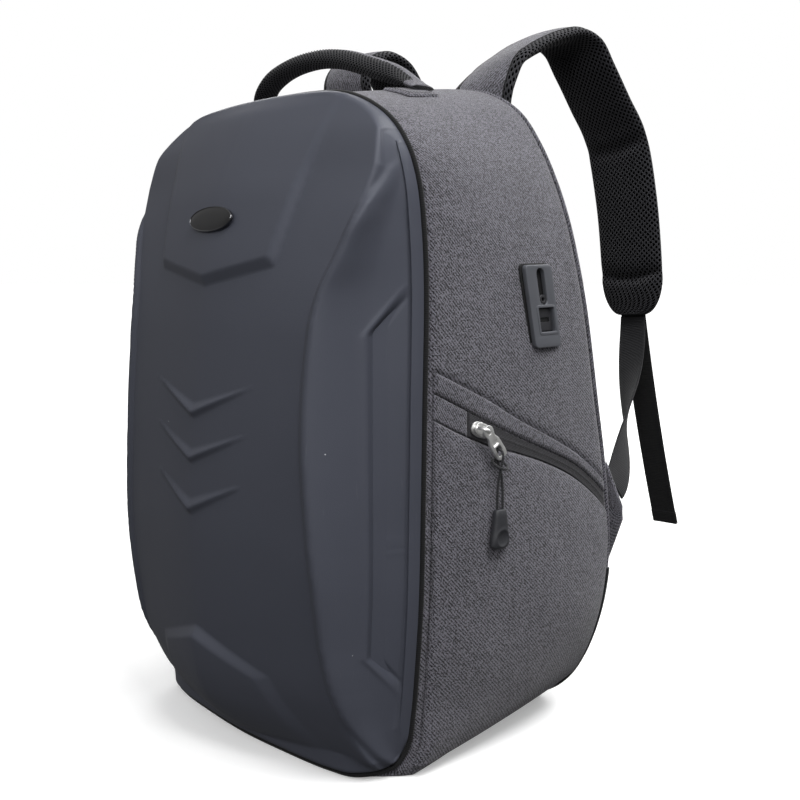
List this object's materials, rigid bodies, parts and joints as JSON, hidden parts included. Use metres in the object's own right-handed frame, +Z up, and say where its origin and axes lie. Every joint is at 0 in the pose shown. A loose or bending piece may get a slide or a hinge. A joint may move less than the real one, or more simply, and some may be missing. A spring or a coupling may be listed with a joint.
{
  "type": "laptop backpack",
  "caption": "Hard-front laptop backpack: moulded shell, woven fabric sides with zip pockets, padded mesh back and shoulder straps, top carry handle and a side port plate.",
  "frame": {"origin": "On the flat base, midway between the sides, below the plane of the seam round the shell", "axes": "+Z up, -Y out of the moulded shell, +Y towards the wearer's back, +X towards the side with the port plate"},
  "size_m": [0.3434, 0.4185, 0.531],
  "materials": {
    "moulded_shell": "soft matte moulded foam shell",
    "gloss_black": "gloss",
    "black_trim": "woven binding",
    "grey_fabric": "mottled grey twill",
    "black_mesh": "open air mesh over foam",
    "zip_black": "woven zip tape",
    "silver_metal": "bright plated",
    "grip_rubber": "matte",
    "port_plastic": "satin",
    "port_dark": "satin",
    "grey_webbing": "ribbed webbing",
    "black_webbing": "ribbed webbing",
    "buckle_plastic": "satin"
  },
  "bodies": {
    "root": {"front_shell": "moulded_shell", "badge": "gloss_black", "shell_piping": "black_trim", "gusset": "grey_fabric", "bottom_panel": "grey_fabric", "back_panel": "black_mesh", "back_piping": "black_trim", "pocket_panel_right": "grey_fabric", "pocket_panel_left": "grey_fabric", "pocket_band_right": "grey_fabric", "pocket_band_left": "grey_fabric", "zip_patch_right": "grey_fabric", "zip_patch_left": "grey_fabric", "zip_tape_right": "zip_black", "zip_tape_left": "zip_black", "zip_slider_right": "silver_metal", "zip_slider_left": "silver_metal", "zip_pull_right": "silver_metal", "zip_pull_left": "silver_metal", "pull_cord_right": "black_trim", "pull_cord_left": "black_trim", "pull_grip_right": "grip_rubber", "pull_grip_left": "grip_rubber", "port_plate": "port_plastic", "port_button": "port_dark", "port_insert": "port_dark", "carry_handle": "black_mesh", "handle_tab_right": "grey_fabric", "handle_tab_left": "grey_fabric", "shoulder_strap_right": "black_mesh", "shoulder_strap_left": "black_mesh", "strap_buckle_right": "buckle_plastic", "strap_buckle_left": "buckle_plastic", "strap_webbing_right": "grey_webbing", "strap_webbing_left": "grey_webbing", "webbing_tail_right": "black_webbing", "webbing_tail_left": "black_webbing", "anchor_tab_right": "grey_fabric", "anchor_tab_left": "grey_fabric"}
  },
  "joints": []
}
